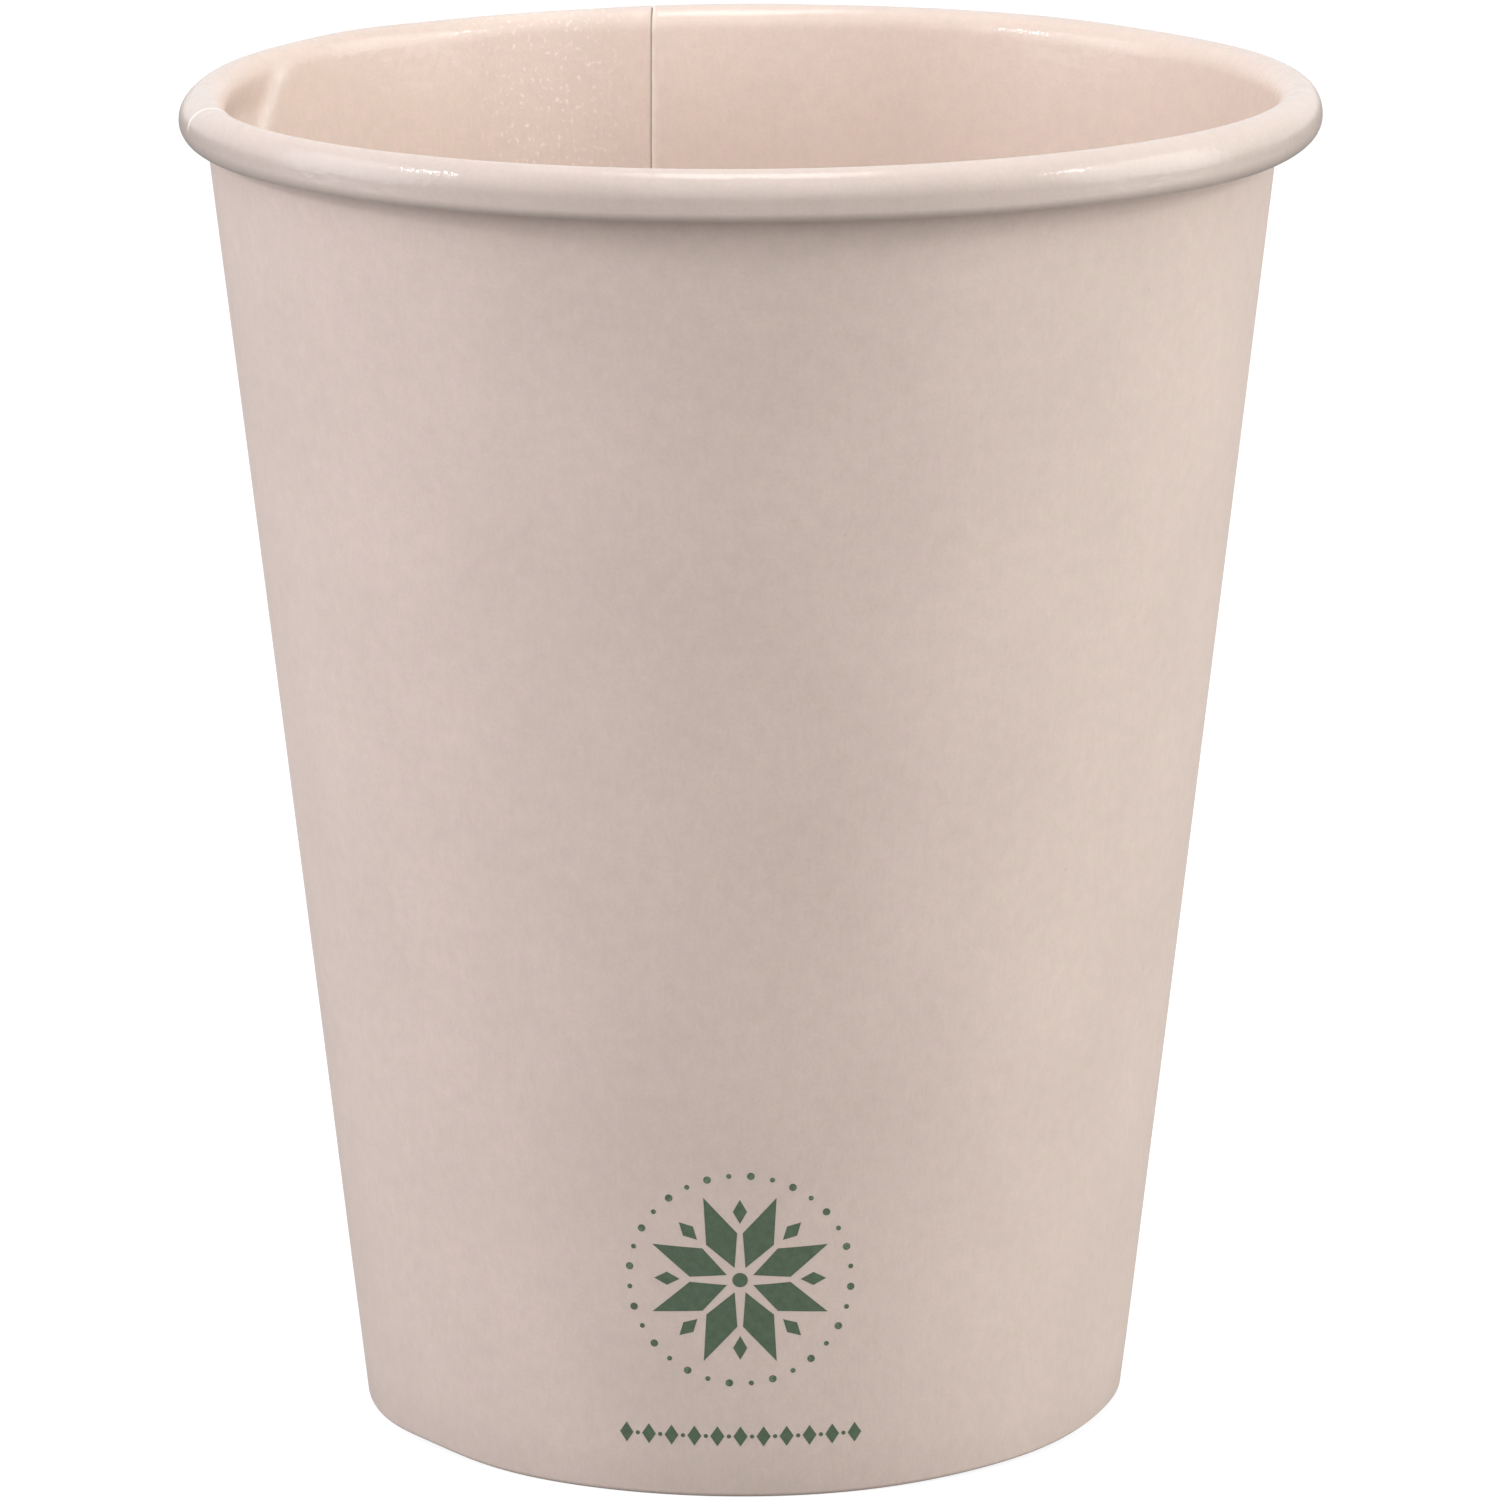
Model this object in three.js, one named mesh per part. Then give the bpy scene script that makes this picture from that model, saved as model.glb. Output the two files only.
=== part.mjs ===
// Single-wall paper cup: a fan-shaped board blank wound into a cone, lapped and sealed down its side, rolled
// out into a rim at the top and folded in round the skirt of a drawn bottom disc. Both blanks carry a barrier
// film on the face that meets the drink. Millimetres, +Z up, origin on the table under the cup's axis.
import * as THREE from "three";

// Overall sizes
const RIM_DIAMETER = 90; // over the rolled rim
const BASE_DIAMETER = 61; // outside of the wall, carried down to the table
const HEIGHT = 107; // table to the top of the rim

// Sheet
const BOARD = 0.32; // paperboard caliper
const LINING = 0.03; // barrier film on the board

// Side seam
const LAP_WIDTH = 8; // overlap of the two edges, half-way up the wall
const JOGGLE_WIDTH = 0.3; // stretch over which the sheet climbs onto the edge below it
const BLEND_WIDTH = 4; // stretch over which foot and roll make room for the second ply, each side of the lap
const SEAM_GAP = 0.05; // left between the two sealed plies
const SEAM_ANGLE = 100.8; // degrees from +X towards +Y, cut edge of the inner ply

// Rolled rim
const CURL_HEIGHT = 3.85; // top of the rim to the underside of the roll
const CURL_CROWN = 1.55; // top of the roll to its straight front, measured across
const CROWN_DROP = 2.1; // top of the roll to where its front turns straight
const LIP_ACROSS = 1.4; // inner wall to the top of the roll, measured across
const LIP_DROP = 2.1; // height over which the wall bends out into the roll
const UNDER_BEND = 1.4; // outside radius where the front turns in under the roll
const TUCK_CORE = 0.2; // inside radius where two plies tuck back into the roll
const TUCK_TURN = 190; // degrees that the tucked edge turns inside the roll
const TUCK_GAP = 0.1; // roll to the wall below it

// Base
const HEM_HEIGHT = 6.6; // table to the cut edge of the turned-up hem
const FOLD_RADIUS = 0.1; // inside of the fold that the cup stands on
const SKIRT_GAP = 0.1; // skirt to the wall outside it and to the hem inside it
const RECESS_DEPTH = 8; // table to the underside of the bottom disc
const DISC_BEND = 0.9; // outside radius where the disc turns down into its skirt

// Facets
const ROUND_STEPS = 48; // round the cup, seam left out
const SEAM_STEPS = 2; // across the lap, the joggle and each blend
const LIP_STEPS = 4;
const CROWN_STEPS = 4;
const UNDER_STEPS = 4;
const TUCK_STEPS = 4;
const FOLD_STEPS = 2;
const BEND_STEPS = 4;

// Sizes that follow
const SHEET = BOARD + LINING;
const PLY = SHEET + SEAM_GAP; // how far the outer ply of the seam stands off the inner one
const DOUBLE = PLY + SHEET; // both plies of the seam
const RIM_RADIUS = RIM_DIAMETER / 2;
const RIDGE_RADIUS = RIM_RADIUS - CURL_CROWN;
const TUCK_RADIUS = DOUBLE + TUCK_CORE;
const POCKET = SHEET + 2 * SKIRT_GAP; // wall to hem, with the skirt between them

// The wall's outer face starts at the base circle and its lined face meets the lip's oval as a tangent. How far
// the oval reaches towards the wall depends on the taper, so the two are worked out in turn until they agree.
function wallTaper() {
  const rise = HEIGHT - LIP_DROP;
  const reach = RIDGE_RADIUS - BASE_DIAMETER / 2;
  const rounds = 6;
  let taper = 0;
  for (let i = 0; i < rounds; i++) {
    const oval = Math.hypot(LIP_ACROSS * Math.cos(taper), LIP_DROP * Math.sin(taper));
    taper = Math.acos((oval - SHEET) / Math.hypot(reach, rise)) - Math.atan2(rise, reach);
  }
  return taper;
}

const TAPER = wallTaper();
const ACROSS = 1 / Math.cos(TAPER); // horizontal distance for each millimetre square to the wall

const QUARTER = Math.PI / 2;
const UP_WALL = QUARTER - TAPER; // heading of the profile as it climbs the wall
const DOWN_WALL = -QUARTER - TAPER;

// Radius of the wall's lined face at a height
function linedRadius(z) {
  return BASE_DIAMETER / 2 - SHEET * ACROSS + z * Math.tan(TAPER);
}

// Profiles
// A profile follows a sheet's lined face in the plane of radius and height. Each point holds its heading, and
// the board lies to the right of it. foot and swell say how far a point goes along with the seam's thickness:
// the foot slides up the wall and the roll swells outwards, so that the cup still stands flat and the roll has
// room.

function point(r, z, heading, foot = 0, swell = 0) {
  return { r, z, heading, foot, swell };
}

// Circular bend about a centre, from one heading to another. It turns left where the heading grows.
function bend(centre, radius, from, to, steps, foot = 0, swell = 0) {
  const side = Math.sign(to - from);
  return Array.from({ length: steps + 1 }, (_, i) => {
    const heading = from + ((to - from) * i) / steps;
    const r = centre.r + side * radius * Math.sin(heading);
    const z = centre.z - side * radius * Math.cos(heading);
    return point(r, z, heading, foot, swell);
  });
}

// Stretch of an ellipse that runs clockwise from one angle down to another
function ovalArc(centre, across, up, from, to, steps, swell = () => 1) {
  return Array.from({ length: steps + 1 }, (_, i) => {
    const angle = from + ((to - from) * i) / steps;
    const heading = Math.atan2(-up * Math.cos(angle), across * Math.sin(angle));
    const r = centre.r + across * Math.cos(angle);
    return point(r, centre.z + up * Math.sin(angle), heading, 0, swell(r));
  });
}

// Joins stretches end to end, leaving out the points that two of them share
function chain(...stretches) {
  return stretches.reduce((path, stretch) => {
    const end = path.at(-1);
    const shared = Math.hypot(end.r - stretch[0].r, end.z - stretch[0].z) < SEAM_GAP / 10;
    return path.concat(shared ? stretch.slice(1) : stretch);
  });
}

// The wall's profile: hem, fold at the table, wall, lip, roll and tucked edge
function wallProfile() {
  const foldHeight = SHEET + FOLD_RADIUS;
  const wallFoot = { r: linedRadius(foldHeight) - FOLD_RADIUS * ACROSS, z: foldHeight };
  const hemFoot = { r: linedRadius(foldHeight) - (POCKET - FOLD_RADIUS) * ACROSS, z: foldHeight };
  const hem = [point(linedRadius(HEM_HEIGHT) - POCKET * ACROSS, HEM_HEIGHT, DOWN_WALL, 1)];
  const innerFold = bend(hemFoot, FOLD_RADIUS, DOWN_WALL, 0, FOLD_STEPS, 1);
  const outerFold = bend(wallFoot, FOLD_RADIUS, 0, UP_WALL, FOLD_STEPS, 1);

  const lipCentre = { r: RIDGE_RADIUS, z: HEIGHT - LIP_DROP };
  const lipAngle = Math.PI - Math.atan((LIP_DROP / LIP_ACROSS) * Math.tan(TAPER));
  const lipStart = RIDGE_RADIUS + LIP_ACROSS * Math.cos(lipAngle);
  const swelling = (r) => (r - lipStart) / (RIDGE_RADIUS - lipStart);
  const lip = ovalArc(lipCentre, LIP_ACROSS, LIP_DROP, lipAngle, QUARTER, LIP_STEPS, swelling);

  const crownCentre = { r: RIDGE_RADIUS, z: HEIGHT - CROWN_DROP };
  const crown = ovalArc(crownCentre, CURL_CROWN, CROWN_DROP, QUARTER, 0, CROWN_STEPS);

  const rollFoot = HEIGHT - CURL_HEIGHT;
  const underCentre = { r: RIM_RADIUS - UNDER_BEND, z: rollFoot + UNDER_BEND };
  const under = bend(underCentre, UNDER_BEND, -QUARTER, -Math.PI, UNDER_STEPS, 0, 1);

  const tuckHeight = rollFoot + TUCK_RADIUS;
  const tuckCentre = {
    r: linedRadius(tuckHeight) + (SHEET + TUCK_GAP) * ACROSS + TUCK_RADIUS,
    z: tuckHeight,
  };
  const tuckEnd = -Math.PI - THREE.MathUtils.degToRad(TUCK_TURN);
  const tuck = bend(tuckCentre, TUCK_RADIUS, -Math.PI, tuckEnd, TUCK_STEPS, 0, 1);
  return chain(hem, innerFold, outerFold, lip, crown, under, tuck);
}

// The bottom's profile: from the axis across the disc, round the bend and down the skirt
function bottomProfile() {
  const top = RECESS_DEPTH + SHEET;
  const bendHeight = top - DISC_BEND;
  const bendCentre = {
    r: linedRadius(bendHeight) - (SKIRT_GAP + DISC_BEND) * ACROSS,
    z: bendHeight,
  };
  const skirtEnd = SHEET + PLY + FOLD_RADIUS; // clear of the fold where the seam lifts it
  const centre = [point(0, top, 0)];
  const corner = bend(bendCentre, DISC_BEND, 0, DOWN_WALL, BEND_STEPS);
  const skirt = [point(linedRadius(skirtEnd) - SKIRT_GAP * ACROSS, skirtEnd, DOWN_WALL)];
  return chain(centre, corner, skirt);
}

// A profile's points moved square to the sheet, towards the board
function shifted(profile, distance) {
  return profile.map((p) => ({
    ...p,
    r: p.r + distance * Math.sin(p.heading),
    z: p.z - distance * Math.cos(p.heading),
  }));
}

// The closed section of one layer of a sheet, between two depths below its lined face
function layer(profile, from, to) {
  return [...shifted(profile, from), ...shifted(profile, to).reverse()];
}

// Wound sheet
// Columns are angles round the cup from the inner ply's cut edge, clockwise from above. climb is how far the
// sheet has moved out onto the inner ply, and lift how much room foot and roll make for the second ply there.
function windingColumns() {
  const middle = linedRadius(HEIGHT / 2);
  const lap = LAP_WIDTH / middle;
  const joggle = JOGGLE_WIDTH / middle;
  const blend = BLEND_WIDTH / middle;
  const turn = 2 * Math.PI;
  const angles = [0];
  const upTo = (end, steps) => {
    const start = angles.at(-1);
    for (let i = 1; i <= steps; i++) angles.push(start + ((end - start) * i) / steps);
  };
  upTo(lap, SEAM_STEPS);
  upTo(lap + blend, SEAM_STEPS);
  upTo(turn - joggle - blend, ROUND_STEPS);
  upTo(turn - joggle, SEAM_STEPS);
  upTo(turn, SEAM_STEPS);
  upTo(turn + lap, SEAM_STEPS);

  const { smoothstep } = THREE.MathUtils;
  return angles.map((angle) => ({
    angle,
    climb: smoothstep(angle, turn - joggle, turn),
    lift: Math.max(
      1 - smoothstep(angle, lap, lap + blend),
      smoothstep(angle, turn - joggle - blend, turn - joggle),
    ),
  }));
}

// Where a section's point stands in one column of the wound sheet
function placed(p, column) {
  const climb = column.climb * PLY;
  const lift = column.lift * PLY;
  const r =
    p.r + climb * Math.sin(p.heading) + lift * (p.foot * Math.tan(TAPER) + p.swell);
  const z = p.z - climb * Math.cos(p.heading) + lift * p.foot;
  const angle = THREE.MathUtils.degToRad(SEAM_ANGLE) - column.angle;
  return new THREE.Vector3(r * Math.cos(angle), r * Math.sin(angle), z);
}

// One layer of the wound sheet as a closed body: both faces, the cut edges at hem and roll, and the two seam
// edges. Both faces are split along the same diagonals, so that the layers of a sheet lie flush.
function woundLayer(from, to) {
  const section = layer(wallProfile(), from, to);
  const columns = windingColumns();
  const count = section.length;
  const corners = columns.flatMap((column) => section.map((p) => placed(p, column)));
  const faces = [];
  const quad = (a, b, c, d) => faces.push(a, b, c, a, c, d);
  const across = (k) => count - 1 - k; // the point on the sheet's other face
  const end = count / 2 - 1;
  for (let c = 0; c + 1 < columns.length; c++) {
    const near = c * count;
    const far = near + count;
    for (let k = 0; k < end; k++) {
      quad(near + k, far + k, far + k + 1, near + k + 1);
      quad(near + across(k), near + across(k + 1), far + across(k + 1), far + across(k));
    }
    quad(near + end, far + end, far + across(end), near + across(end));
    quad(near, near + across(0), far + across(0), far);
  }
  const last = (columns.length - 1) * count;
  for (let k = 0; k < end; k++) {
    quad(k, k + 1, across(k + 1), across(k));
    quad(last + k, last + across(k), last + across(k + 1), last + k + 1);
  }
  const geometry = new THREE.BufferGeometry().setFromPoints(corners);
  geometry.setIndex(faces);
  geometry.computeVertexNormals();
  return geometry;
}

// One layer of the bottom, turned about the cup's axis
function turnedLayer(from, to) {
  const section = layer(bottomProfile(), from, to).map((p) => new THREE.Vector2(p.r, p.z));
  return new THREE.LatheGeometry(section.reverse(), ROUND_STEPS).rotateX(QUARTER);
}

// Pieces
const boardFinish = { color: 0xd8c8bd, roughness: 0.85, metalness: 0 };
const liningFinish = { color: 0xdfcabc, roughness: 0.4, metalness: 0 };

function piece(name, geometry, finish) {
  const mesh = new THREE.Mesh(geometry, new THREE.MeshStandardMaterial(finish));
  mesh.name = name;
  return mesh;
}

const cup = new THREE.Group();
cup.add(
  piece("sidewall", woundLayer(LINING, SHEET), boardFinish),
  piece("sidewall_lining", woundLayer(0, LINING), liningFinish),
  piece("bottom_disc", turnedLayer(LINING, SHEET), boardFinish),
  piece("bottom_lining", turnedLayer(0, LINING), liningFinish),
);

export default cup;
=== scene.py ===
"""Looks of a single-wall paper cup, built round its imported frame.

Shapes are worked out in millimetres and made into meshes in metres, in the frame's own axes.
"""

import math

import bmesh
import bpy
import numpy as np
from mathutils import Matrix, Vector


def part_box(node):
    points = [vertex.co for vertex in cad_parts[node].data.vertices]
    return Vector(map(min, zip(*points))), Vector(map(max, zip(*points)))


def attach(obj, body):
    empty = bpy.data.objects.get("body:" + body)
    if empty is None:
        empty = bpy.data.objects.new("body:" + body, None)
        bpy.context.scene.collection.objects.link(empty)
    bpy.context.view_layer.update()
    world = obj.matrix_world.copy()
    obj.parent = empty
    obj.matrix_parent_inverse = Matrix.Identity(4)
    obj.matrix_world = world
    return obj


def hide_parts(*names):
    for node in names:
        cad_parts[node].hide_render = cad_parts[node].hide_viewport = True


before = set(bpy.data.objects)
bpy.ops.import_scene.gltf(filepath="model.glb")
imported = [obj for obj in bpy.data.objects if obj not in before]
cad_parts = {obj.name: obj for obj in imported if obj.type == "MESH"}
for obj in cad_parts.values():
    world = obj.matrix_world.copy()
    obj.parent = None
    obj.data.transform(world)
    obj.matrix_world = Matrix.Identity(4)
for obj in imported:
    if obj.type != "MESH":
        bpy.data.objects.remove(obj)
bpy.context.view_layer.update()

QUARTER = math.pi / 2
TURN = 2 * math.pi
MM = 0.001
TAPER_ROUNDS = 6  # steps of the search for the wall's angle

# Sizes of the cup, in millimetres
rim_low, rim_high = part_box("sidewall_lining")
RIM_RADIUS = (rim_high.x - rim_low.x) / 2 / MM
HEIGHT = rim_high.z / MM
BASE_RADIUS = 30.5
BOARD = 0.32
LINING = 0.03
SHEET = BOARD + LINING

# Side seam
SEAM_ANGLE = math.radians(100.7)
LAP_WIDTH = 8.0
JOGGLE_WIDTH = 0.3
BLEND_WIDTH = 4.0
SEAM_GAP = 0.05
PLY = SHEET + SEAM_GAP
DOUBLE = PLY + SHEET
SEAM_LEAN = math.radians(0.033)  # for each millimetre above the height where it starts
LEAN_START = 94.0
EDGE_WIDTH = 0.4  # rounding of the inner ply's cut edge
EDGE_DEPTH = 0.3
ROLL_CLOSING = 0.7  # share of the seam's groove that the roll presses shut

# Rolled rim
CURL_HEIGHT = 3.85
CURL_CROWN = 1.55
CROWN_DROP = 2.1
LIP_ACROSS = 1.4
LIP_DROP = 2.1
TUCK_ROOM = 0.2  # beyond two plies, inside the tucked edge's bend
TUCK_RADIUS = DOUBLE + TUCK_ROOM
TUCK_TURN = math.radians(190)
TUCK_GAP = 0.1
RIDGE_RADIUS = RIM_RADIUS - CURL_CROWN

# Base
HEM_HEIGHT = 6.6
FOLD_RADIUS = 0.1
SKIRT_GAP = 0.1
POCKET = SHEET + 2 * SKIRT_GAP
RECESS_DEPTH = 8.0
DISC_BEND = 0.9

# How this cup departs from a perfect one: its body stands a little left of its rim, the rim is not quite
# level, and the foot is off the table on both sides of the front. Rim and base waves give their place and
# spread in degrees, and a height. Wall waves give their count round the cup, twist, phase and depth.
BODY_SHIFT_BASE = -0.51
BODY_SHIFT_TOP = -0.62
RIM_TILT = 0.0058
RIM_WAVES = ((175, 12, -0.2), (138, 8, 0.15), (38, 12, -0.12), (90, 55, 0.12), (0, 35, -0.08))
BASE_WAVES = ((-16, 20, 0.78), (-48, 20, 0.28), (-145, 12, 0.4))
BASE_REACH = 10.0  # height over which the foot's lift dies out
RIM_WAVE_POWER = 6  # of the height, so that the rim's waves stay near the rim
FRONT_BEND = 0.7  # radius where the roll turns in under itself, at front and back
SIDE_BEND = 1.6  # and at the two sides
SIDE_POWER = 4  # of the cosine that blends between the two
ROLL_SAG = 0.35  # extra depth of the roll at the front right
SAG_ANGLE = math.radians(-30)
SAG_SPREAD = math.radians(34)
PRESS_DEPTH = 1.4  # how far the roll is squashed inwards at the left
PRESS_ANGLE = math.radians(-176)
PRESS_SPREAD = math.radians(20)
PRESS_HEIGHTS = (102.6, 105.6)
WALL_WAVES = ((3, 1.0, 0.7, 0.05), (7, 3.0, 2.1, 0.022), (12, -4.0, 0.4, 0.01))
WAVES_GROW = (12.0, 37.0)  # heights between which the wall's waves grow
WAVES_FADE = (70.0, 104.0)  # and between which they die out

# Crease down the inside from the rim, and crease across the roll
CREASE_TOP = math.radians(150.4)
CREASE_LEAN = math.radians(1.404)  # for each millimetre below the rim
CREASE_FADE = (96.0, 100.0)  # heights between which it appears
CREASE_END = (104.6, 106.2)  # and between which it dies out on the lip
CREASE_WIDTH = 1.1
CREASE_HEIGHT = 0.12
CREASE_SCUFF = 0.6
PINCH_INNER = math.radians(-162.6)
PINCH_OUTER = math.radians(-166.2)
PINCH_WIDTH = 0.2
PINCH_HEIGHT = 0.05
PINCH_OVERRUN = 0.2  # share of its line by which it runs on down the inside
PINCH_REACH = 0.6  # share of the roll's height that it crosses
# Painted highlight along the inner ply's rounded cut edge
EDGE_HIGHLIGHT = 0.7

# Painted glints, over a faint painted sheen, on the film inside, left of the seam
GLINT_ANGLE = math.radians(113)
GLINT_SPREAD = math.radians(8.5)
GLINT_HEIGHTS = (80.0, 92.0)
GLINT_END = 0.2  # slope of the lip at which it stops

# Print on the front
PRINT_ANGLE = math.radians(-90.5)
PRINT_HEIGHT = 18.3
PRINT_LIFT = 0.015
PRINT_SINK = 0.02
STAR_POINTS = 8
STAR_HUB = 0.6
STAR_KITE = (1.1, 3.7, 7.4, 1.3)  # inner end, widest place, outer end and half its width
GAP_KITE = (4.7, 5.7, 6.7, 0.55)
RING_DOTS = 32
RING_RADIUS = 8.7
RING_SIZES = (0.2, 0.3)  # radii of its dots, in turn
ROW_HALF = 5  # lozenges on each side of the middle one
ROW_STEP = 1.8
ROW_PLACE = -13.2
ROW_KITE = (-0.85, 0.0, 0.85, 0.55)
ROW_DOT = 0.17
KITE_STEPS = 8
DOT_STEPS = 24

# Colours, from 0 to 255 as in a picture
BOARD_COLOUR = (213, 195, 186)
BOARD_FLECK = (150, 128, 115)
BOARD_FIBRE = (186, 168, 158)
FILM_COLOUR = (212.5, 193.5, 182.5)
FILM_FLECK = (165, 140, 125)
# Whitening of creased film, also the colour of painted highlights on the pinch and cut edge
FILM_WHITENING_AND_HIGHLIGHT = (246, 236, 227)
# Colour of the painted glints and sheen on the inside film
FILM_GLINT = (250, 238, 232)
INK_COLOUR = (86, 103, 84)
# Painted shade, with a slightly greyer hue, that the film takes on the roll
ROLL_PAINTED_SHADE = (0.825, 0.85, 0.88)  # times the film's colour

# Camera, from the photograph's outlines
CAMERA_DISTANCE = 686.75
CAMERA_HEIGHT = 208.76
CAMERA_SIDE = -0.046
CAMERA_PITCH = 0.2232
FOCAL_PIXELS = 8797.95
IMAGE_PIXELS = 1500
SENSOR_WIDTH = 36.0

# Light. Each lamp has a name, a place and a size in millimetres, a power in watts and a tint.
LAMP_TARGET = (0, 0, 60)
WHITE = (1.0, 1.0, 1.0)
LAMPS = (
    ("left_softbox", (-700, -60, 260), 520, 2.45, (1.0, 0.995, 1.06)),
    ("right_softbox", (700, -60, 260), 520, 3.2, (1.0, 1.0, 0.965)),
    ("left_spot", (-700, -250, 480), 80, 0.75, WHITE),
    ("right_spot", (700, -250, 480), 80, 0.4, WHITE),
    ("top_softbox", (0, -130, 860), 360, 3.1, WHITE),
    ("front_softbox", (0, -800, 500), 800, 2.5, WHITE),
)
WORLD_FILL = 0.62
FLOOR_SIZE = 6000
FLOOR_TONE = 0.22
FLOOR_GLOW = 0.88

# Mesh density and shading
ROUND_STEPS = 288
SEAM_STEPS = 8  # in each stretch of the seam
WALL_STEPS = 24
TOP_STEPS = 36
TOP_BAND = 12.0  # height of the finer rows below the rim
BEND_STEPS = 10
FOLD_STEPS = 5
SHORT_STEPS = 7  # along hem, skirt and the roll's front
DISC_STEPS = 27
CREASE_SPAN = (146, 166, 75)  # degrees and steps
PINCH_SPAN = (-170, -158, 80)
WELD_DISTANCE = 1e-9  # in metres
SHARP_ANGLE = math.radians(40)


def smooth(t):
    """Eased step from 0 to 1."""
    t = np.clip(t, 0.0, 1.0)
    return t * t * (3 - 2 * t)


def ramp(value, span):
    """Eased step from 0 to 1 over a span."""
    return smooth((value - span[0]) / (span[1] - span[0]))


def bell(distance, width):
    """Bell curve, 1 in the middle."""
    return np.exp(-(distance / width) ** 2)


def wrap(angle):
    """Angle brought between minus and plus half a turn."""
    return (angle + math.pi) % TURN - math.pi


def wall_taper():
    """Angle of the wall, from the base circle to a tangent with the lip's oval."""
    rise = HEIGHT - LIP_DROP
    reach = RIDGE_RADIUS - BASE_RADIUS
    taper = 0.0
    for _ in range(TAPER_ROUNDS):
        oval = math.hypot(LIP_ACROSS * math.cos(taper), LIP_DROP * math.sin(taper))
        taper = math.acos((oval - SHEET) / math.hypot(reach, rise)) - math.atan2(rise, reach)
    return taper


TAPER = wall_taper()
ACROSS = 1 / math.cos(TAPER)
UP_WALL = QUARTER - TAPER
DOWN_WALL = -QUARTER - TAPER


def lined_radius(z):
    """Radius of the wall's lined face at a height."""
    return BASE_RADIUS - SHEET * ACROSS + z * math.tan(TAPER)


MIDDLE_RADIUS = lined_radius(HEIGHT / 2)
LAP = LAP_WIDTH / MIDDLE_RADIUS
JOGGLE = JOGGLE_WIDTH / MIDDLE_RADIUS
BLEND = BLEND_WIDTH / MIDDLE_RADIUS
EDGE = 2 * EDGE_WIDTH / MIDDLE_RADIUS


# Profiles: rows of radius, height, heading, foot, swell and give, along a sheet's lined face. The foot
# slides up the wall and the roll swells outwards with the seam's thickness. give is 1 where the body's
# shift moves a point in full.

def stretch(r, z, heading, foot=0.0, swell=0.0, give=1.0):
    """Rows of a profile from arrays or single values."""
    return np.column_stack(np.broadcast_arrays(np.atleast_1d(r), z, heading, foot, swell, give))


def bend(centre, radius, start, stop, steps=BEND_STEPS):
    """Radius, height and heading along a circular bend. It turns left where the heading grows."""
    heading = np.linspace(start, stop, steps + 1)
    side = math.copysign(1, stop - start)
    return centre[0] + side * radius * np.sin(heading), centre[1] - side * radius * np.cos(heading), heading


def oval_arc(centre, across, up, start, stop, steps=BEND_STEPS):
    """Radius, height and heading along a stretch of an ellipse, clockwise."""
    angle = np.linspace(start, stop, steps + 1)
    heading = np.arctan2(-up * np.cos(angle), across * np.sin(angle))
    return centre[0] + across * np.cos(angle), centre[1] + up * np.sin(angle), heading


def wall_profile(under_bend):
    """Hem, fold, wall, lip, roll and tucked edge."""
    fold_z = SHEET + FOLD_RADIUS
    wall_foot = (lined_radius(fold_z) - FOLD_RADIUS * ACROSS, fold_z)
    hem_foot = (lined_radius(fold_z) - (POCKET - FOLD_RADIUS) * ACROSS, fold_z)
    hem_z = np.linspace(HEM_HEIGHT, fold_z, SHORT_STEPS + 1)[:-1]
    hem_r = lined_radius(hem_z) - POCKET * ACROSS

    lip_angle = math.pi - math.atan(LIP_DROP / LIP_ACROSS * math.tan(TAPER))
    lip = oval_arc((RIDGE_RADIUS, HEIGHT - LIP_DROP), LIP_ACROSS, LIP_DROP, lip_angle, QUARTER)
    lip_start = lip[0][0]
    lip_swell = (lip[0] - lip_start) / (RIDGE_RADIUS - lip_start)
    wall_z = np.concatenate([
        np.linspace(fold_z, HEIGHT - TOP_BAND, WALL_STEPS + 1)[1:-1],
        np.linspace(HEIGHT - TOP_BAND, lip[1][0], TOP_STEPS)[:-1],
    ])

    roll_foot = HEIGHT - CURL_HEIGHT
    under_z = roll_foot + under_bend
    front_z = np.linspace(HEIGHT - CROWN_DROP, under_z, SHORT_STEPS + 1)[1:-1]
    tuck_z = roll_foot + TUCK_RADIUS
    tuck_r = lined_radius(tuck_z) + (SHEET + TUCK_GAP) * ACROSS + TUCK_RADIUS
    crown = oval_arc((RIDGE_RADIUS, HEIGHT - CROWN_DROP), CURL_CROWN, CROWN_DROP, QUARTER, 0.0)
    under = bend((RIM_RADIUS - under_bend, under_z), under_bend, -QUARTER, -math.pi)
    tuck = bend((tuck_r, tuck_z), TUCK_RADIUS, -math.pi, -math.pi - TUCK_TURN)

    def give(r):
        return np.clip((RIM_RADIUS - r) / (RIM_RADIUS - lip_start), 0, 1)

    return np.vstack([
        stretch(hem_r, hem_z, DOWN_WALL, foot=1),
        stretch(*bend(hem_foot, FOLD_RADIUS, DOWN_WALL, 0.0, FOLD_STEPS), foot=1),
        stretch(*bend(wall_foot, FOLD_RADIUS, 0.0, UP_WALL, FOLD_STEPS), foot=1),
        stretch(lined_radius(wall_z), wall_z, UP_WALL),
        stretch(*lip, swell=lip_swell, give=give(lip[0])),
        stretch(*crown, swell=1, give=give(crown[0]))[1:],
        stretch(RIM_RADIUS, front_z, -QUARTER, swell=1, give=0),
        stretch(*under, swell=1, give=give(under[0])),
        stretch(*tuck, swell=1, give=give(tuck[0])),
    ])


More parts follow.
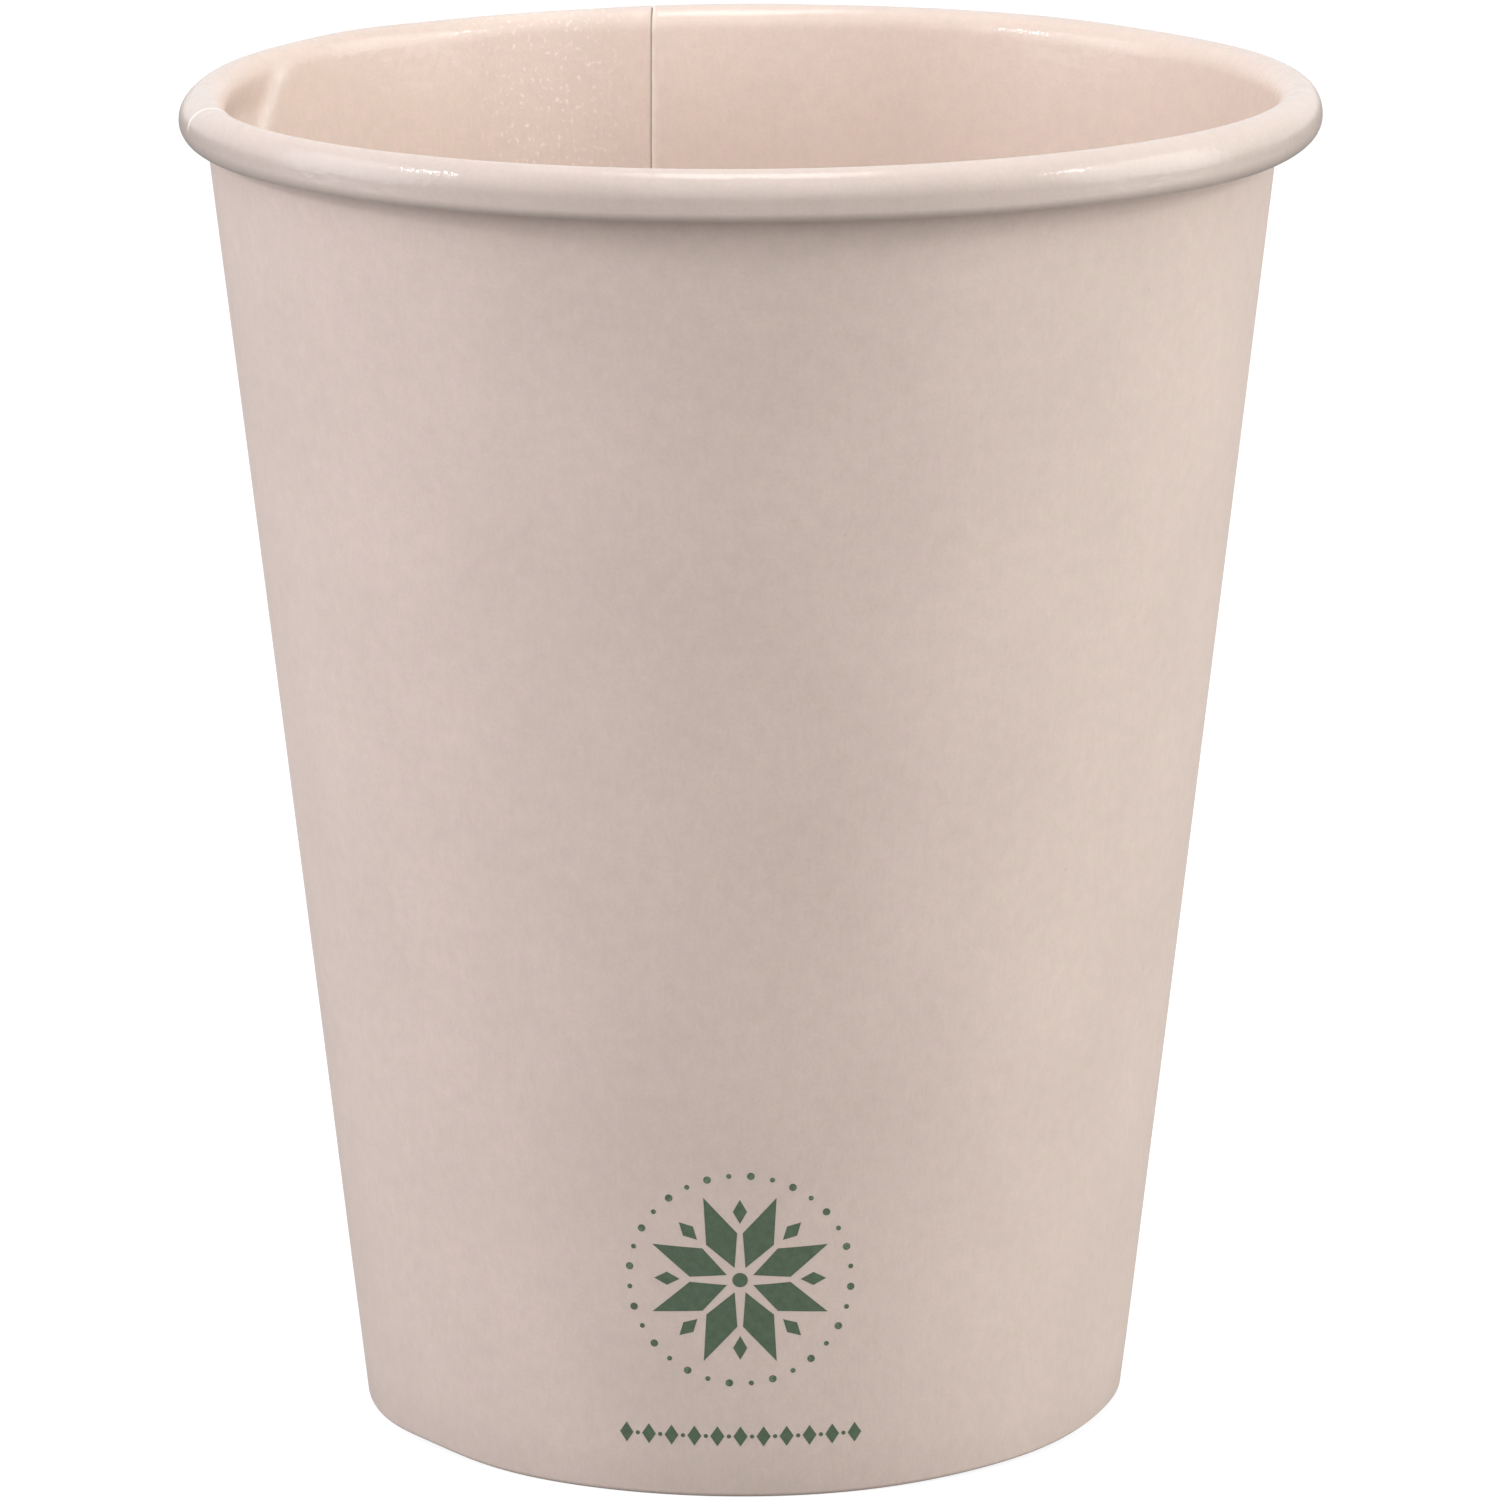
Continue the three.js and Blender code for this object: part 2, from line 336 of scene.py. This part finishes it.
def bottom_profile():
    """From the axis across the disc, round the bend and down the skirt."""
    top = RECESS_DEPTH + SHEET
    bend_z = top - DISC_BEND
    bend_r = lined_radius(bend_z) - (SKIRT_GAP + DISC_BEND) * ACROSS
    skirt_end = SHEET + PLY + FOLD_RADIUS
    corner = bend((bend_r, bend_z), DISC_BEND, 0.0, DOWN_WALL)
    skirt_z = np.linspace(corner[1][-1], skirt_end, SHORT_STEPS + 1)[1:]
    skirt_r = lined_radius(skirt_z) - SKIRT_GAP * ACROSS
    return np.vstack([
        stretch(np.linspace(0, bend_r, DISC_STEPS + 1)[:-1], top, 0.0),
        stretch(*corner),
        stretch(skirt_r, skirt_z, DOWN_WALL),
    ])


# Points

def relaxed(radius, turn, z, give):
    """Points of a perfect cup, moved to where this one has them."""
    rise = z / HEIGHT
    slack = ramp(z, WAVES_GROW) * (1 - ramp(z, WAVES_FADE))
    for waves, twist, phase, depth in WALL_WAVES:
        radius = radius + depth * slack * np.sin(waves * turn + twist * rise + phase)
    press = ramp(z, PRESS_HEIGHTS) * give
    radius = radius - PRESS_DEPTH * press * bell(wrap(turn - PRESS_ANGLE), PRESS_SPREAD)
    x = radius * np.cos(turn)
    y = radius * np.sin(turn)
    shift = (BODY_SHIFT_BASE + (BODY_SHIFT_TOP - BODY_SHIFT_BASE) * rise) * give
    drop = RIM_TILT * (RIM_RADIUS - x) * rise
    at_rim = rise ** RIM_WAVE_POWER
    at_base = np.clip(1 - z / BASE_REACH, 0, 1) ** 2 * np.clip(radius / BASE_RADIUS, 0, 1)
    for waves, share in ((RIM_WAVES, at_rim), (BASE_WAVES, at_base)):
        for place, spread, height in waves:
            away = wrap(turn - math.radians(place))
            drop = drop - height * bell(away, math.radians(spread)) * share
    return np.stack([x + shift, y, z - drop], axis=-1)


def winding_columns():
    """Each wall column's angle from the inner ply's cut edge, climb onto that ply, and seam's lift."""
    def near(span):
        start, stop, steps = span
        return np.sort((SEAM_ANGLE - np.radians(np.linspace(start, stop, steps + 1))) % TURN)

    angle = np.unique(np.concatenate([
        np.linspace(0, EDGE, SEAM_STEPS + 1),
        np.linspace(EDGE, LAP, SEAM_STEPS + 1),
        np.linspace(LAP, LAP + BLEND, SEAM_STEPS + 1),
        np.linspace(LAP + BLEND, TURN - JOGGLE - BLEND, ROUND_STEPS + 1),
        np.linspace(TURN - JOGGLE - BLEND, TURN - JOGGLE, SEAM_STEPS + 1),
        np.linspace(TURN - JOGGLE, TURN, SEAM_STEPS + 1),
        np.linspace(TURN, TURN + LAP, SEAM_STEPS + 1),
        near(CREASE_SPAN),
        near(PINCH_SPAN),
    ]).round(6))
    climb = smooth((angle - TURN + JOGGLE) / JOGGLE)
    lift = np.maximum(1 - smooth((angle - LAP) / BLEND), smooth((angle - TURN + JOGGLE + BLEND) / BLEND))
    return angle, climb, lift


def wall_rows(angle):
    """The wall's profile in each column, as arrays of columns by rows for each of its values."""
    front, side = wall_profile(FRONT_BEND), wall_profile(SIDE_BEND)
    share = np.cos(SEAM_ANGLE - angle)[:, None, None] ** SIDE_POWER
    rows = np.moveaxis(front + (side - front) * share, -1, 0)
    sag = ROLL_SAG * bell(wrap(SEAM_ANGLE - angle - SAG_ANGLE), SAG_SPREAD)[:, None]
    z, swell = rows[1], rows[4]
    z -= sag * (swell == 1) * np.clip((HEIGHT - z) / CURL_HEIGHT, 0, 1)
    return rows


def creases(turn, rows):
    """How far the wall stands up in its creases, how whitened its film is along the crease, and its painted
    highlight along the pinch.
    """
    r, z, heading, foot, swell, give = rows
    wall = (foot == 0) & (heading > 0)
    line = CREASE_TOP + CREASE_LEAN * (HEIGHT - z)
    slant = math.cos(math.atan(CREASE_LEAN * RIM_RADIUS))
    distance = wrap(turn - line) * r * slant
    fade = ramp(z, CREASE_FADE) * wall * (1 - ramp(z, CREASE_END))
    ridge = fade * bell(distance, CREASE_WIDTH)

    roll = wall | ((swell == 1) & (heading > -QUARTER))
    start = RIDGE_RADIUS - LIP_ACROSS / 2
    share = np.clip((r - start) / (RIM_RADIUS - start), -PINCH_OVERRUN, 1)
    line = PINCH_INNER + (PINCH_OUTER - PINCH_INNER) * share
    distance = wrap(turn - line) * r
    pinch = bell(distance, PINCH_WIDTH) * (roll & (z > HEIGHT - CURL_HEIGHT * PINCH_REACH))
    # The crease whitens the film; along the pinch the whitening is a painted highlight
    return CREASE_HEIGHT * ridge + PINCH_HEIGHT * pinch, np.maximum(CREASE_SCUFF * ridge, pinch)


def glint_patch(turn, rows):
    """Share of painted glints and faint painted sheen on the wall's inside, from 0 to 1."""
    z, heading = rows[1], rows[2]
    high = ramp(z, GLINT_HEIGHTS) * (heading > GLINT_END)
    return bell(wrap(turn - GLINT_ANGLE), GLINT_SPREAD) * high


def cut_edge(angle, radius):
    """1 at the inner ply's cut edge, falling to 0 where its rounding ends."""
    return bell(angle * radius, EDGE_WIDTH) * (angle < QUARTER)


def wound_turn(angle, rows):
    """Where the wall's points stand round the cup: the seam leans, and the roll closes its groove."""
    z, swell = rows[1], rows[4]
    groove = np.clip(1 - (TURN - JOGGLE - angle) / BLEND, 0, 1) * JOGGLE
    groove = np.minimum(groove, np.clip(TURN - angle, 0, None))
    edge = np.clip(1 - (angle - EDGE) / LAP, 0, 1) * EDGE
    edge = np.minimum(edge, angle)
    closed = angle + ROLL_CLOSING * swell * (groove - edge)
    return SEAM_ANGLE - closed - SEAM_LEAN * np.clip(z - LEAN_START, 0, None)


def wound_points(rows, columns, depth):
    """Grid of points of the wound wall at a depth below its lined face, columns by profile rows."""
    angle, climb, lift = (values[:, None] for values in columns)
    r, z, heading, foot, swell, give = rows
    turn = wound_turn(angle, rows)
    worn = EDGE_DEPTH * cut_edge(angle, r) * (1 - ROLL_CLOSING * swell) * (1 - depth / SHEET)
    offset = depth + worn + climb * PLY - creases(turn, rows)[0]
    radius = r + offset * np.sin(heading) + lift * PLY * (foot * math.tan(TAPER) + swell)
    height = z - offset * np.cos(heading) + lift * PLY * foot
    return relaxed(radius, turn, height, give)


def turned_points(profile, turn, depth):
    """Grid of points of a turned sheet at a depth below its lined face."""
    r, z, heading = profile.T[:3]
    return relaxed(r + depth * np.sin(heading), turn[:, None], z - depth * np.cos(heading), 1.0)


def print_points(across, up, lift):
    """Grid of points on the wall's outer face, from flat places in the print."""
    z = PRINT_HEIGHT + up * math.cos(TAPER)
    outer = lined_radius(z) + SHEET * ACROSS
    turn = PRINT_ANGLE + across / outer
    return relaxed(outer + lift * math.cos(TAPER), turn, z - lift * math.sin(TAPER), 1.0)


# Meshes

def sheet_faces(columns, rows, ring=False):
    """Faces of a closed sheet, front grid of points first and back grid after it."""
    count = columns * rows
    index = np.arange(count).reshape(columns, rows)
    near = index if ring else index[:-1]
    far = np.roll(index, -1, axis=0) if ring else index[1:]

    def quads(a, b, c, d):
        return np.stack([a, b, c, d], axis=-1).reshape(-1, 4)

    faces = [
        quads(near[:, :-1], far[:, :-1], far[:, 1:], near[:, 1:]),
        quads(near[:, :-1], near[:, 1:], far[:, 1:], far[:, :-1]) + count,
        quads(near[:, -1], far[:, -1], far[:, -1] + count, near[:, -1] + count),
        quads(near[:, 0], near[:, 0] + count, far[:, 0] + count, far[:, 0]),
    ]
    if not ring:
        first, last = index[0], index[-1]
        faces.append(quads(first[:-1], first[1:], first[1:] + count, first[:-1] + count))
        faces.append(quads(last[:-1], last[:-1] + count, last[1:] + count, last[1:]))
    return np.concatenate(faces)


def mesh_piece(name, sheets, marks=None):
    """Smooth-shaded object of closed sheets, each with its front points, back points, UV in mm and ring."""
    points, faces, uv = [], [], []
    start = 0
    for front, back, flat, ring in sheets:
        faces.append(sheet_faces(*front.shape[:2], ring) + start)
        for side in (front, back):
            points.append(side.reshape(-1, 3) * MM)
            uv.append(flat.reshape(-1, 2))
            start += len(points[-1])
    mesh = bpy.data.meshes.new(name)
    mesh.from_pydata(np.concatenate(points).tolist(), [], np.concatenate(faces).tolist())
    corners = np.empty(len(mesh.loops), dtype=np.int64)
    mesh.loops.foreach_get("vertex_index", corners)
    layer = mesh.uv_layers.new(name="sheet")
    layer.data.foreach_set("uv", np.concatenate(uv)[corners].ravel())
    for mark, grid in (marks or {}).items():
        values = np.tile(grid.ravel(), 2).astype(np.float32)
        mesh.attributes.new(mark, "FLOAT", "POINT").data.foreach_set("value", values)
    weld = bmesh.new()
    weld.from_mesh(mesh)
    bmesh.ops.remove_doubles(weld, verts=weld.verts, dist=WELD_DISTANCE)
    weld.to_mesh(mesh)
    weld.free()
    mesh.polygons.foreach_set("use_smooth", np.ones(len(mesh.polygons), dtype=bool))
    mesh.set_sharp_from_angle(angle=SHARP_ANGLE)
    mesh.validate()
    piece = bpy.data.objects.new(name, mesh)
    bpy.context.collection.objects.link(piece)
    return piece


def path_length(profile):
    """Distance along a profile from its first row."""
    steps = np.hypot(*np.diff(profile[:, :2], axis=0).T)
    return np.concatenate([[0], np.cumsum(steps)])


def wall_piece(name, near, far):
    """One layer of the wound wall, between two depths."""
    columns = winding_columns()
    rows = wall_rows(columns[0])
    length = path_length(wall_profile(FRONT_BEND))
    flat = np.stack(np.meshgrid(columns[0] * MIDDLE_RADIUS, length, indexing="ij"), axis=-1)
    front = wound_points(rows, columns, near)
    back = wound_points(rows, columns, far)
    angle = columns[0][:, None]
    # Painted highlight along the inner ply's cut edge
    edge_highlight = EDGE_HIGHLIGHT * cut_edge(angle, rows[0])
    turn = wound_turn(angle, rows)
    whitening_and_highlight = np.maximum(creases(turn, rows)[1], edge_highlight)
    marks = {"whitening_and_highlight": whitening_and_highlight, "rolled": rows[4], "painted_glint": glint_patch(turn, rows)}
    return mesh_piece(name, [(front, back, flat, False)], marks)


def bottom_piece(name, near, far):
    """One layer of the bottom, between two depths."""
    profile = bottom_profile()
    turn = -np.linspace(0, TURN, ROUND_STEPS, endpoint=False)
    front = turned_points(profile, turn, near)
    back = turned_points(profile, turn, far)
    length = path_length(profile)[None, :]
    flat = np.stack([length * np.cos(turn)[:, None], length * np.sin(turn)[:, None]], axis=-1)
    return mesh_piece(name, [(front, back, flat, True)])


def kite(place, direction, inner, middle, outer, half_width, steps=KITE_STEPS):
    """Flat grid of a kite that points along a direction from a place."""
    way = np.array([math.cos(direction), math.sin(direction)])
    side = np.array([-way[1], way[0]])
    tail, tip = inner * way, outer * way
    left, right = middle * way + half_width * side, middle * way - half_width * side
    u, v = (t[..., None] for t in np.meshgrid(*[np.linspace(0, 1, steps + 1)] * 2, indexing="ij"))
    return place + (1 - u) * (1 - v) * tail + u * (1 - v) * right + u * v * tip + (1 - u) * v * left, False


def dot(place, radius, steps=DOT_STEPS):
    """Flat grid of a round dot."""
    angle = -np.linspace(0, TURN, steps, endpoint=False)[:, None]
    reach = np.array([0.0, radius])
    return place + np.stack([reach * np.cos(angle), reach * np.sin(angle)], axis=-1), True


def star_print():
    """Flat grids of the print: an eight-pointed star in a ring of dots over a row of lozenges."""
    middle = np.zeros(2)
    shapes = [dot(middle, STAR_HUB)]
    for i in range(STAR_POINTS):
        direction = TURN * (i + 0.5) / STAR_POINTS
        shapes.append(kite(middle, direction, *STAR_KITE))
        between = TURN * i / STAR_POINTS
        shapes.append(kite(middle, between, *GAP_KITE))
    for i in range(RING_DOTS):
        angle = TURN * (i + 0.5) / RING_DOTS
        place = RING_RADIUS * np.array([math.cos(angle), math.sin(angle)])
        shapes.append(dot(place, RING_SIZES[i % 2]))
    for i in range(-ROW_HALF, ROW_HALF + 1):
        place = np.array([ROW_STEP * i, ROW_PLACE])
        shapes.append(kite(place, QUARTER, *ROW_KITE))
        if i < ROW_HALF:
            shapes.append(dot(place + np.array([ROW_STEP / 2, 0.0]), ROW_DOT))
    return shapes


def print_piece(name):
    """The print as thin closed patches on the wall."""
    sheets = []
    for flat, ring in star_print():
        front = print_points(flat[..., 0], flat[..., 1], PRINT_LIFT)
        back = print_points(flat[..., 0], flat[..., 1], -PRINT_SINK)
        sheets.append((front, back, flat, ring))
    return mesh_piece(name, sheets)


# Materials

def linear(*rgb):
    """Scene-linear colour from the 0 to 255 values of a picture."""
    scaled = [value / 255 for value in rgb]
    return [v / 12.92 if v <= 0.04045 else ((v + 0.055) / 1.055) ** 2.4 for v in scaled]


class Nodes:
    """Short way to write a material's node tree."""

    def __init__(self, name):
        self.material = bpy.data.materials.new(name)
        self.material.use_nodes = True
        self.tree = self.material.node_tree
        self.shader = self.tree.nodes["Principled BSDF"]

    def add(self, kind, inputs=None, **settings):
        node = self.tree.nodes.new("ShaderNode" + kind)
        for key, value in settings.items():
            setattr(node, key, value)
        for key, value in (inputs or {}).items():
            self.feed(node.inputs[key], value)
        return node

    def feed(self, socket, value):
        if isinstance(value, bpy.types.NodeSocket):
            self.tree.links.new(value, socket)
        else:
            socket.default_value = value

    def set(self, **values):
        for key, value in values.items():
            self.feed(self.shader.inputs[key.replace("_", " ")], value)

    def sheet(self, across, along):
        """Sheet coordinates in millimetres, scaled across and along the blank."""
        uv = self.add("UVMap", uv_map="sheet").outputs["UV"]
        return self.add("VectorMath", {0: uv, 1: (across, along, 0.0)}, operation="MULTIPLY").outputs[0]

    def noise(self, vector, detail=3.0, roughness=0.55):
        inputs = {"Vector": vector, "Scale": 1.0, "Detail": detail, "Roughness": roughness}
        return self.add("TexNoise", inputs).outputs["Fac"]

    def spread(self, value, low, high, from_low=0.3, from_high=0.7):
        """Maps a noise value onto a range."""
        inputs = {"Value": value, "From Min": from_low, "From Max": from_high}
        inputs.update({"To Min": low, "To Max": high})
        return self.add("MapRange", inputs, clamp=True).outputs[0]

    def maths(self, operation, a, b):
        return self.add("Math", {0: a, 1: b}, operation=operation).outputs[0]

    def shade(self, colour, factor):
        """A colour times a varying factor."""
        return self.add("VectorMath", {0: colour, "Scale": factor}, operation="SCALE").outputs[0]

    def mix(self, factor, a, b):
        node = self.add("Mix", {0: factor}, data_type="RGBA")
        self.feed(node.inputs[6], a)
        self.feed(node.inputs[7], b)
        return node.outputs[2]

    def bump(self, height, distance, strength=1.0):
        inputs = {"Height": height, "Distance": distance * MM, "Strength": strength}
        self.feed(self.shader.inputs["Normal"], self.add("Bump", inputs).outputs["Normal"])


def paper_tone(nodes, colour, strength=1.0):
    """Paper colour with clouding, mottled fibre and grain, and the height of its surface."""
    cloud = nodes.noise(nodes.sheet(0.09, 0.07), detail=3)
    mottle = nodes.noise(nodes.sheet(0.85, 0.75), detail=4)
    fibre = nodes.noise(nodes.sheet(2.6, 0.7), detail=3)
    grain = nodes.noise(nodes.sheet(3.6, 3.6), detail=2)
    tone = nodes.spread(cloud, 1 - 0.03 * strength, 1 + 0.03 * strength)
    for part, depth in ((mottle, 0.03), (fibre, 0.016), (grain, 0.026)):
        tone = nodes.maths("MULTIPLY", tone, nodes.spread(part, 1 - depth * strength, 1 + depth * strength))
    red, green, blue = colour
    hue = nodes.spread(nodes.noise(nodes.sheet(0.8, 0.7), detail=3), 0.0, 1.0)
    tint = nodes.mix(hue, (red, green * 0.99, blue, 1.0), (red * 0.992, green * 1.004, blue * 0.975, 1.0))
    height = nodes.maths("ADD", nodes.maths("ADD", mottle, fibre), nodes.maths("MULTIPLY", grain, 0.8))
    return nodes.shade(tint, tone), height


def flecks(nodes, colour, cells, size, dark):
    """Adds stray dark fibres to a paper colour."""
    inputs = {"Vector": nodes.sheet(cells, cells * 0.45), "Scale": 1.0}
    voronoi = nodes.add("TexVoronoi", inputs)
    near = nodes.spread(voronoi.outputs["Distance"], 1.0, 0.0, size * 0.4, size)
    chosen = nodes.add("SeparateColor", {0: voronoi.outputs["Color"]}).outputs[0]
    mask = nodes.maths("MULTIPLY", near, nodes.spread(chosen, 0.0, 0.75, 0.45, 1.0))
    return nodes.mix(mask, colour, (*dark, 1.0))


def board_material():
    """Unbleached-looking board: matt, with mottled fibre, soft clouding and stray flecks."""
    nodes = Nodes("board")
    colour, height = paper_tone(nodes, linear(*BOARD_COLOUR))
    colour = flecks(nodes, colour, 0.11, 0.022, linear(*BOARD_FLECK))
    colour = flecks(nodes, colour, 0.3, 0.03, linear(*BOARD_FIBRE))
    roughness = nodes.spread(height, 0.62, 0.8, 0.9, 1.9)
    nodes.set(Base_Color=colour, Roughness=roughness, Specular_IOR_Level=0.35)
    nodes.set(Sheen_Weight=0.12, Sheen_Roughness=0.5)
    nodes.bump(height, 0.02, 0.55)
    return nodes.material


def lining_material():
    """Board seen through its barrier film: softly glossy, with painted shade and a greyer hue on the roll,
    whitened where creased, with painted highlights on the pinch and cut edge, and painted glints.
    """
    nodes = Nodes("lining")
    colour, height = paper_tone(nodes, linear(*FILM_COLOUR), 0.8)
    # Painted shade on the roll: the film's colour darkened, with a slightly greyer hue
    rolled = nodes.add("Attribute", attribute_name="rolled").outputs["Fac"]
    painted_roll_shade = nodes.add("VectorMath", {0: colour, 1: ROLL_PAINTED_SHADE}, operation="MULTIPLY").outputs[0]
    colour = nodes.mix(rolled, colour, painted_roll_shade)
    colour = flecks(nodes, colour, 0.11, 0.02, linear(*FILM_FLECK))
    # Whitening along the crease, and painted highlights along the pinch and the inner ply's cut edge
    whitening_and_highlight = nodes.add("Attribute", attribute_name="whitening_and_highlight").outputs["Fac"]
    patchy = nodes.spread(nodes.noise(nodes.sheet(1.6, 0.9), detail=3), 0.7, 1.15)
    whitened = nodes.maths("MULTIPLY", whitening_and_highlight, patchy)
    colour = nodes.mix(whitened, colour, (*linear(*FILM_WHITENING_AND_HIGHLIGHT), 1.0))
    # Painted glints, over a faint painted sheen, in a patch left of the seam
    painted_glint = nodes.add("Attribute", attribute_name="painted_glint").outputs["Fac"]
    glints = nodes.spread(nodes.noise(nodes.sheet(2.5, 1.7), detail=2), 0.08, 0.65, 0.58, 0.75)
    shining = nodes.maths("MULTIPLY", painted_glint, glints)
    colour = nodes.mix(shining, colour, (*linear(*FILM_GLINT), 1.0))
    orange = nodes.noise(nodes.sheet(0.7, 0.7), detail=2)
    roughness = nodes.spread(orange, 0.32, 0.46)
    nodes.set(Base_Color=colour, Roughness=roughness, Specular_IOR_Level=0.2)
    uneven = nodes.noise(nodes.sheet(1.6, 1.0), detail=2)
    film = nodes.add("Bump", {"Height": uneven, "Distance": 0.06 * MM})
    nodes.set(Coat_Weight=0.45, Coat_Roughness=0.12, Coat_Normal=film.outputs["Normal"])
    nodes.bump(nodes.maths("ADD", nodes.maths("MULTIPLY", height, 0.6), orange), 0.03, 0.6)
    return nodes.material


def ink_material():
    """Dark green ink, a little uneven where the paper took less of it."""
    nodes = Nodes("ink")
    cover = nodes.noise(nodes.sheet(1.4, 1.4), detail=4)
    pores = nodes.noise(nodes.sheet(6.0, 6.0), detail=2)
    tone = nodes.maths("MULTIPLY", nodes.spread(cover, 0.9, 1.12), nodes.spread(pores, 0.94, 1.1))
    colour = nodes.shade(tuple(linear(*INK_COLOUR)), tone)
    nodes.set(Base_Color=colour, Roughness=0.7, Specular_IOR_Level=0.3)
    nodes.bump(pores, 0.01, 0.4)
    return nodes.material


# Stage

def softbox(name, place, size, power, tint):
    """Square area lamp that faces the cup. Millimetres and watts."""
    lamp = bpy.data.lights.new(name, "AREA")
    lamp.shape = "SQUARE"
    lamp.size = size * MM
    lamp.energy = power
    lamp.color = tint
    holder = bpy.data.objects.new(name, lamp)
    holder.location = Vector(place) * MM
    aim = Vector(LAMP_TARGET) * MM - holder.location
    holder.rotation_euler = aim.to_track_quat("-Z", "Y").to_euler()
    bpy.context.collection.objects.link(holder)


def make_world(fill):
    """Even fill light, and plain white where the camera, a reflection or a view through glass meets it."""
    world = bpy.data.worlds.new("studio")
    bpy.context.scene.world = world
    world.use_nodes = True
    tree = world.node_tree
    path = tree.nodes.new("ShaderNodeLightPath")
    seen = path.outputs["Is Camera Ray"]
    for name in ("Is Glossy Ray", "Is Transmission Ray"):
        either = tree.nodes.new("ShaderNodeMath")
        either.operation = "MAXIMUM"
        tree.links.new(seen, either.inputs[0])
        tree.links.new(path.outputs[name], either.inputs[1])
        seen = either.outputs[0]
    level = tree.nodes.new("ShaderNodeMapRange")
    level.inputs["To Min"].default_value = fill
    level.inputs["To Max"].default_value = 1.0
    tree.links.new(seen, level.inputs["Value"])
    tree.links.new(level.outputs[0], tree.nodes["Background"].inputs["Strength"])
    tree.nodes["Background"].inputs["Color"].default_value = (1.0, 1.0, 1.0, 1.0)


def make_floor(size, tone, glow):
    """Floor that keeps the cup's shadow and reads as white to the camera."""
    half = size / 2
    corners = [(-half, -half, 0), (half, -half, 0), (half, half, 0), (-half, half, 0)]
    mesh = bpy.data.meshes.new("floor")
    mesh.from_pydata([Vector(c) * MM for c in corners], [], [(0, 1, 2, 3)])
    floor = bpy.data.objects.new("floor", mesh)
    bpy.context.collection.objects.link(floor)
    nodes = Nodes("floor")
    path = nodes.add("LightPath").outputs["Is Camera Ray"]
    nodes.set(Base_Color=(tone, tone, tone, 1.0), Roughness=0.9, Specular_IOR_Level=0.0)
    nodes.set(Emission_Color=(1.0, 1.0, 1.0, 1.0))
    nodes.set(Emission_Strength=nodes.maths("MULTIPLY", path, glow))
    mesh.materials.append(nodes.material)


def make_camera():
    """Camera at the photograph's viewpoint."""
    lens = bpy.data.cameras.new("camera")
    lens.sensor_fit = "HORIZONTAL"
    lens.sensor_width = SENSOR_WIDTH
    lens.lens = FOCAL_PIXELS / IMAGE_PIXELS * SENSOR_WIDTH
    lens.clip_start = 0.01
    lens.clip_end = 50
    camera = bpy.data.objects.new("camera", lens)
    place = Vector((CAMERA_SIDE, -CAMERA_DISTANCE, CAMERA_HEIGHT)) * MM
    camera.matrix_world = Matrix.Translation(place) @ Matrix.Rotation(QUARTER - CAMERA_PITCH, 4, "X")
    bpy.context.collection.objects.link(camera)
    bpy.context.scene.camera = camera


def dress(piece, material, node=None):
    """Gives a piece its material and ties it to the frame."""
    piece.data.materials.append(material)
    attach(piece, "root")
    if node:
        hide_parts(node)


bpy.context.scene.view_settings.view_transform = "Standard"
make_camera()
make_world(WORLD_FILL)
make_floor(FLOOR_SIZE, FLOOR_TONE, FLOOR_GLOW)
for lamp in LAMPS:
    softbox(*lamp)

board = board_material()
lining = lining_material()
ink = ink_material()

dress(wall_piece("cup_sidewall", LINING, SHEET), board, "sidewall")
dress(wall_piece("cup_sidewall_lining", 0.0, LINING), lining, "sidewall_lining")
dress(bottom_piece("cup_bottom_disc", LINING, SHEET), board, "bottom_disc")
dress(bottom_piece("cup_bottom_lining", 0.0, LINING), lining, "bottom_lining")
dress(print_piece("printed_star"), ink)
